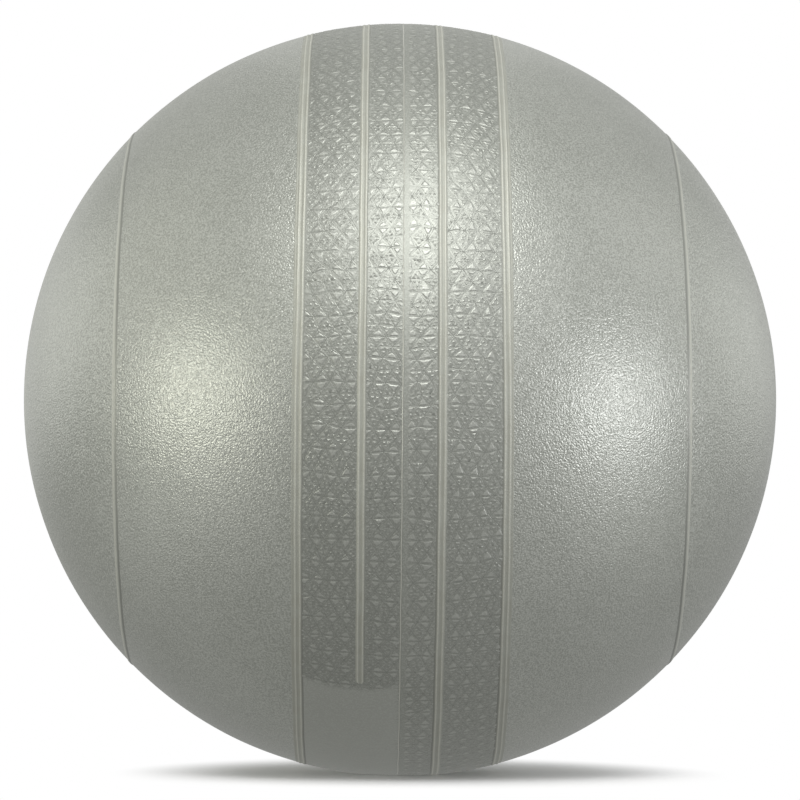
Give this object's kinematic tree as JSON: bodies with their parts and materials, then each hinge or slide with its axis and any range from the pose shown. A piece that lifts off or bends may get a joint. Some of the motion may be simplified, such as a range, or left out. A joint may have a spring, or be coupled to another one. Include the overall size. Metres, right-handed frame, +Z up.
{
  "type": "exercise ball",
  "caption": "Inflated ball for sitting, balance and strength exercises, with raised grip rings, a moulded seam, a bare label panel and an air valve closed by a push-in plug.",
  "frame": {"origin": "on the floor, at the middle of the flat that the ball stands on, under its centre", "axes": "+Z up; X is the mould axis, through the valve at the +X pole; the seam lies in the YZ plane; the front faces -Y"},
  "size_m": [0.6499, 0.6506, 0.6478],
  "materials": {
    "skin": "pearl silver-grey soft PVC, satin, with moulded grip relief between the band rings and fine pebble grain on the flanks",
    "valve": "smooth satin grey PVC, a little lighter than the skin",
    "plug": "smooth white soft PVC"
  },
  "bodies": {
    "ball": {"ball_skin": "skin", "valve_seat": "valve"},
    "stopper": {"plug": "plug"}
  },
  "joints": [
    {"name": "plug_pull", "type": "slide", "parent": "ball", "child": "stopper", "axis": [1, 0, 0], "range_m": [0, 0.04]}
  ]
}
